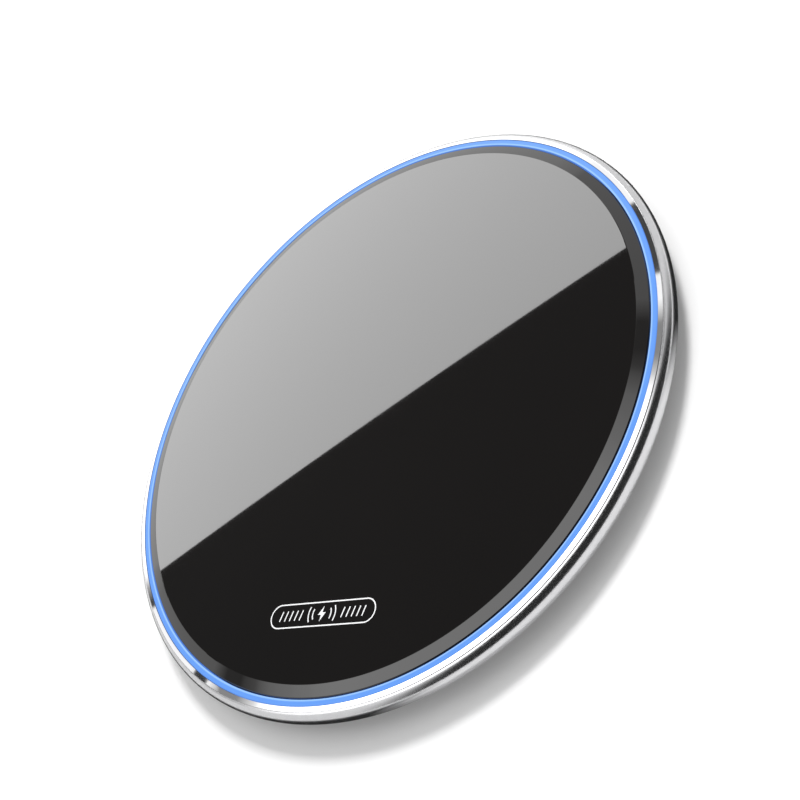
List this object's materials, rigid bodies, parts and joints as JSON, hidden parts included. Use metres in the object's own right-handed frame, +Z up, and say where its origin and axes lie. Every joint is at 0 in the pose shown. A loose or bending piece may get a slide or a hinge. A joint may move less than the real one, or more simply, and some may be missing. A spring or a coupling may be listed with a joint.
{
  "type": "wireless charging pad",
  "caption": "Round flat wireless charging pad: black glass top with a bevelled edge, a lit blue ring, a convex metal frame and a charging socket in its side.",
  "frame": {"origin": "centre of the footprint, on the table under the foot ring", "axes": "+Z up out of the glass, +Y out of the charging socket, +X to the right when the socket points away"},
  "size_m": [0.1, 0.0999, 0.007],
  "materials": {
    "black_glass": "polished black mirror glass",
    "adhesive": "double-sided sheet",
    "black_moulding": "fine moulded texture",
    "light_guide": "clear light guide, lit blue",
    "frame_metal": "satin side with a polished lip",
    "foot_rubber": "soft matte silicone",
    "screw_steel": "plated steel",
    "socket_steel": "drawn nickel-plated steel",
    "contact_gold": "gold flash",
    "board_green": "solder mask",
    "ferrite": "sintered ferrite",
    "film_amber": "polyimide film",
    "litz_copper": "enamelled litz wire",
    "bead_epoxy": "dipped epoxy bead",
    "thermal_silicone": "soft thermal pad",
    "chip_epoxy": "moulded epoxy",
    "capacitor_ceramic": "tinned ceramic",
    "lamp_lens": "white package with a clear lens"
  },
  "bodies": {
    "root": {"top_panel": "black_glass", "panel_adhesive": "adhesive", "deck": "black_moulding", "light_ring": "light_guide", "metal_frame": "frame_metal", "bottom_cover": "black_moulding", "foot_ring": "foot_rubber", "cover_screws": "screw_steel", "port_bezel": "black_moulding", "usb_shell": "socket_steel", "usb_tongue": "black_moulding", "usb_contacts": "contact_gold", "circuit_board": "board_green", "ferrite_adhesive": "adhesive", "ferrite_plate": "ferrite", "coil_film": "film_amber", "coil_winding": "litz_copper", "coil_leads": "litz_copper", "thermistor": "bead_epoxy", "thermal_pad": "thermal_silicone", "controller_chip": "chip_epoxy", "power_switches": "chip_epoxy", "resonance_capacitors": "capacitor_ceramic", "input_capacitors": "capacitor_ceramic", "power_inductor": "ferrite", "crystal": "screw_steel", "led_driver": "chip_epoxy", "chip_resistors": "chip_epoxy", "ring_leds": "lamp_lens"}
  },
  "joints": []
}
